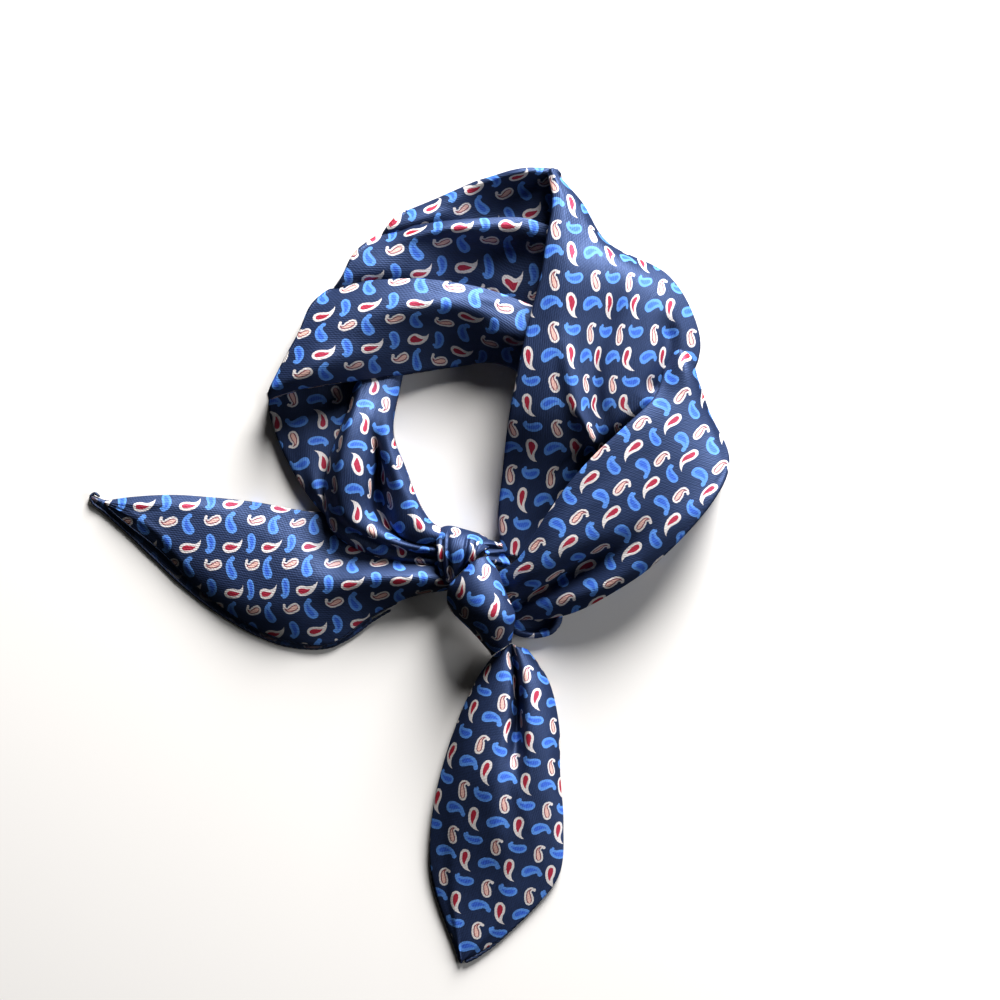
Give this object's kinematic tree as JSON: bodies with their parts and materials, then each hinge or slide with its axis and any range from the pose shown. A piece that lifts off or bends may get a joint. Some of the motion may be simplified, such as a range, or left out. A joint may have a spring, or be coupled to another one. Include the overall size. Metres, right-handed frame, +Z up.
{
  "type": "square silk scarf, folded and tied",
  "caption": "Square silk scarf folded into a band and tied like a neckerchief, laid flat with its neck loop open; navy twill with a small repeat of red, pink and blue droplets.",
  "frame": {"origin": "centre of the bounding box, on the table that the scarf lies on", "axes": "+X to the side away from the side tail, +Y from the front tail's tip to the top of the neck loop, +Z up from the table"},
  "size_m": [0.3001, 0.3733, 0.0288],
  "materials": {
    "silk_twill": "satin",
    "silk_hem": "satin"
  },
  "bodies": {
    "root": {"tail_left": "silk_twill", "tail_left_hem": "silk_hem", "loop_left_outer": "silk_twill", "loop_left_inner": "silk_twill", "loop_top_inner": "silk_twill", "loop_top_middle": "silk_twill", "loop_top_outer": "silk_twill", "loop_right": "silk_twill", "loop_front": "silk_twill", "hem_loop": "silk_twill", "knot_back": "silk_twill", "knot_fold": "silk_twill", "knot_wrap": "silk_twill", "tail_front": "silk_twill", "tail_front_hem_left": "silk_hem", "tail_front_hem_right": "silk_hem"}
  },
  "joints": []
}
